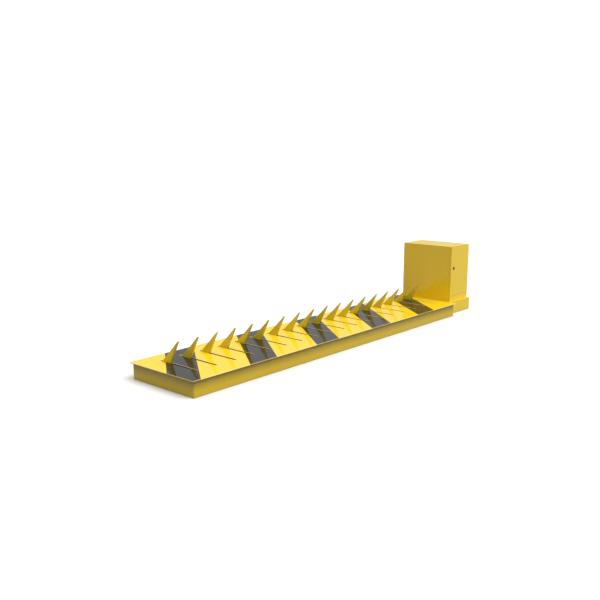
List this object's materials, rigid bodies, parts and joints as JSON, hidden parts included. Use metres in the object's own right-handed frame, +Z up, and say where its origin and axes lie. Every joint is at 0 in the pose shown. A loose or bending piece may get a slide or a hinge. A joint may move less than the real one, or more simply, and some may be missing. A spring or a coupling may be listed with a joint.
{
  "type": "motorised tyre killer barrier",
  "caption": "Surface-mounted traffic spike barrier: slotted drive-over plate on a low box frame, a row of pivoting spikes on one shaft, and a drive cabinet with a locking door at one end.",
  "frame": {"origin": "middle of the object's footprint, on the ground", "axes": "+X along the strip from its free end to the drive cabinet, +Y from the approach side to the rear, +Z up"},
  "size_m": [3.5204, 0.636, 0.622],
  "materials": {
    "body_paint": "glossy yellow, with black stripes on the drive-over plate",
    "spike_paint": "satin yellow",
    "zinc": "zinc plated",
    "bright_steel": "ground",
    "bronze": "machined",
    "cast_grey": "painted grey",
    "seal_rubber": "matt foam rubber",
    "grey_plastic": "fine texture",
    "black_plastic": "moulded"
  },
  "bodies": {
    "frame": {"top_plate": "body_paint", "side_channel_front": "body_paint", "side_channel_rear": "body_paint", "end_plate_free": "body_paint", "end_plate_drive": "body_paint", "cross_rib_1": "body_paint", "cross_rib_2": "body_paint", "cross_rib_3": "body_paint", "plinth_base": "body_paint", "plinth_walls": "body_paint", "plinth_top": "body_paint", "cabinet_walls": "body_paint", "cabinet_roof": "body_paint", "cabinet_skirt": "body_paint", "door_frame": "body_paint", "rib_bush_1": "bronze", "rib_bush_2": "bronze", "rib_bush_3": "bronze", "end_bearing_free": "cast_grey", "end_bearing_drive": "cast_grey", "gearbox": "cast_grey", "motor": "cast_grey", "gearmotor_bracket": "zinc", "hinge_cabinet_half_lower": "zinc", "hinge_cabinet_half_upper": "zinc", "control_box": "grey_plastic", "control_box_cover": "grey_plastic", "limit_switch_raised": "black_plastic", "limit_switch_lowered": "black_plastic", "cable_gland": "black_plastic"},
    "spike_rotor": {"spike_shaft": "bright_steel", "spike_01": "spike_paint", "spike_02": "spike_paint", "spike_03": "spike_paint", "spike_04": "spike_paint", "spike_05": "spike_paint", "spike_06": "spike_paint", "spike_07": "spike_paint", "spike_08": "spike_paint", "spike_09": "spike_paint", "spike_10": "spike_paint", "spike_11": "spike_paint", "spike_12": "spike_paint", "spike_13": "spike_paint", "spike_14": "spike_paint", "spike_15": "spike_paint", "spike_16": "spike_paint", "spike_17": "spike_paint", "spike_18": "spike_paint", "shaft_lever": "zinc"},
    "crank": {"crank_arm": "zinc", "gearbox_output_shaft": "bright_steel"},
    "rod": {"connecting_rod": "zinc"},
    "door": {"door_panel": "body_paint", "door_seal": "seal_rubber", "lock_escutcheon": "black_plastic", "hinge_door_half_lower": "zinc", "hinge_door_half_upper": "zinc"},
    "lock": {"lock_barrel": "cast_grey", "lock_cam": "zinc"}
  },
  "joints": [
    {"name": "spike_turn", "type": "hinge", "parent": "frame", "child": "spike_rotor", "pos_m": [0, 0.17, 0.066], "axis": [1, 0, 0], "range_deg": [0, 43]},
    {"name": "crank_turn", "type": "hinge", "parent": "frame", "child": "crank", "pos_m": [1.46875, 0.17, 0.33], "axis": [1, 0, 0], "range_deg": [0, 43]},
    {"name": "rod_turn", "type": "hinge", "parent": "crank", "child": "rod", "pos_m": [1.48175, 0.23513, 0.30434], "axis": [1, 0, 0], "range_deg": [-43, 0]},
    {"name": "door_swing", "type": "hinge", "parent": "frame", "child": "door", "pos_m": [1.75425, -0.2066, 0.39], "axis": [0, 0, 1], "range_deg": [0, 110]},
    {"name": "lock_turn", "type": "hinge", "parent": "door", "child": "lock", "pos_m": [1.47775, -0.22, 0.42], "axis": [0, 1, 0], "range_deg": [0, 90]}
  ],
  "couplings": [
    {"joint": "crank_turn", "follows": "spike_turn", "ratio": 1},
    {"joint": "rod_turn", "follows": "spike_turn", "ratio": -1}
  ]
}
